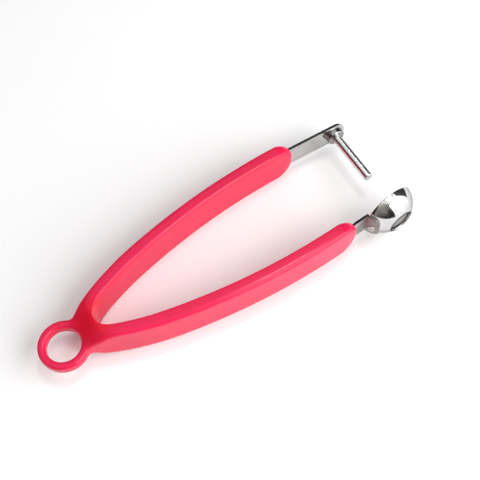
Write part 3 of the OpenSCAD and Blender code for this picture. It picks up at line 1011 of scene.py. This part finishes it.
# %% [markdown]
# ## Light
# The photograph has soft studio light on white. A world of even white stands for the room, and four lamps
# shape the tool: a large key lamp low on the right, so the sides of the arms are brighter than their tops,
# a small lamp high up that draws the thin highlight along the edges and the shadow of the punch, and two
# soft lamps from above and behind that only lift the shadows and make no highlight of their own.

# %% World
room_light = 0.17
world = bpy.data.worlds.new("white_studio")
bpy.context.scene.world = world
world.use_nodes = True
tree = world.node_tree
ambient = tree.nodes["Background"]
fill(tree, ambient.inputs, Color=(1, 1, 1, 1), Strength=room_light)
backdrop = add_node(tree, "ShaderNodeBackground", Color=(1, 1, 1, 1), Strength=1)
mix_shaders(tree, seen_directly(tree), ambient, backdrop, "World Output")
print("World", world.name, "made")

# %% Lamps
tool_middle = Vector((80, 0, 0)) * MM


def from_tool(target, azimuth, elevation, distance):
    """A place at this direction and distance from the target, and the turn that faces it."""
    a, e = radians(azimuth), radians(elevation)
    away = Vector((cos(e) * cos(a), cos(e) * sin(a), sin(e)))
    return target + distance * away, away.to_track_quat("Z", "Y").to_euler()


def soft_lamp(name, azimuth, elevation, distance, size, radiance, glossy=True):
    """A lamp that shines at the tool with an even brightness, with or without highlights."""
    place, turn = from_tool(tool_middle, azimuth, elevation, distance)
    bpy.ops.object.light_add(type="AREA", location=place, rotation=turn)
    lamp = bpy.context.object
    lamp.name = name
    lamp.data.shape = "RECTANGLE"
    lamp.data.size = size[0]
    lamp.data.size_y = size[1]
    lamp.data.energy = radiance * pi * size[0] * size[1]
    lamp.visible_glossy = glossy
    print(name, round(lamp.data.energy, 2), "W")


soft_lamp("key_lamp", azimuth=-52, elevation=31, distance=1.0, size=(1.25, 1.06), radiance=4.0)
soft_lamp("spot_lamp", azimuth=25, elevation=73, distance=1.2, size=(0.16, 0.16), radiance=24)
soft_lamp("sky_lamp", azimuth=0, elevation=85, distance=1.2, size=(0.9, 0.9), radiance=0.65, glossy=False)
soft_lamp("fill_lamp", azimuth=165, elevation=30, distance=1.2, size=(0.7, 0.7), radiance=1.9, glossy=False)

# %% [markdown]
# ## Cards for the chrome
# Chrome only looks like chrome when it has something dark to mirror, so a studio sets up dark cards. The
# places of these follow the dark shapes that the cup mirrors in the photograph: one in front, one at the
# right, and two low ones behind and at the left. A light card over the cup gives its round white spot.
# The cards are seen by reflections alone. A group lets them fade out softly towards their edges and go
# from a darker to a lighter corner.

# %% Node group of the cards
card_light, given, gives = new_group(
    "card_light", {"Edge": "Float", "Dark": "Float", "Light": "Float"}, ("Cover", "Level"))
place = card_light.nodes.new("ShaderNodeTexCoord").outputs["UV"]
parts = add_node(card_light, "ShaderNodeSeparateXYZ", Vector=place).outputs
full_from = math_node(card_light, "SUBTRACT", 0.5, given["Edge"])
covers = []
for side in ("X", "Y"):
    aside = math_node(card_light, "ABSOLUTE", math_node(card_light, "SUBTRACT", parts[side], 0.5))
    fade = add_node(card_light, "ShaderNodeMapRange", Value=aside, From_Min=0.5, From_Max=full_from)
    fade.interpolation_type = "SMOOTHSTEP"
    covers.append(fade.outputs["Result"])
cloud = add_node(card_light, "ShaderNodeTexNoise", Vector=place, Scale=4, Detail=3)
slope = math_node(card_light, "SUBTRACT", parts["Y"], parts["X"])
cloudy = math_node(card_light, "ADD", slope, cloud.outputs["Fac"])
level = add_node(card_light, "ShaderNodeMapRange", Value=cloudy, From_Max=1.3, To_Min=given["Dark"],
                 To_Max=given["Light"])
fill(card_light, gives, Cover=math_node(card_light, "MULTIPLY", *covers), Level=level.outputs["Result"])
print("Group", card_light.name, "has", len(card_light.nodes), "nodes")

# %% Set up the cards
head_middle, card_distance = Vector((148, -20, 0)) * MM, 0.9


def card(name, azimuth, elevation, width, height, dark, light, lift=0, edge=0.06):
    """A card that only reflections see, lifted by a height where it stands upright."""
    place, turn = from_tool(head_middle, azimuth, elevation, card_distance)
    bpy.ops.mesh.primitive_plane_add(size=1, location=place + Vector((0, 0, lift)), rotation=turn)
    piece = bpy.context.object
    piece.name = name
    piece.scale = (width, height, 1)
    for kind in ("camera", "diffuse", "shadow", "transmission", "volume_scatter"):
        setattr(piece, f"visible_{kind}", False)
    material = bare_material(name)
    tree = material.node_tree
    shine = use_group(tree, card_light, Edge=edge, Dark=dark, Light=light)
    clear = tree.nodes.new("ShaderNodeBsdfTransparent")
    glow = add_node(tree, "ShaderNodeEmission", Color=(1, 0.95, 0.9, 1), Strength=shine["Level"])
    mix_shaders(tree, shine["Cover"], clear, glow, "Material Output")
    dress(material, piece)


card("front_card", azimuth=-132, elevation=0, lift=0.7, width=2.0, height=1.8, dark=0.03, light=0.75,
     edge=0.15)
card("right_card", azimuth=5, elevation=30, width=0.95, height=1.15, dark=0.05, light=0.08, edge=0.12)
card("back_card", azimuth=82, elevation=0, lift=0.5, width=2.4, height=1.2, dark=0.02, light=0.03)
card("left_card", azimuth=168, elevation=0, lift=0.4, width=1.5, height=1.0, dark=0.02, light=0.05)
card("ceiling_card", azimuth=-72, elevation=76, width=0.55, height=0.45, dark=2, light=2, edge=0.2)
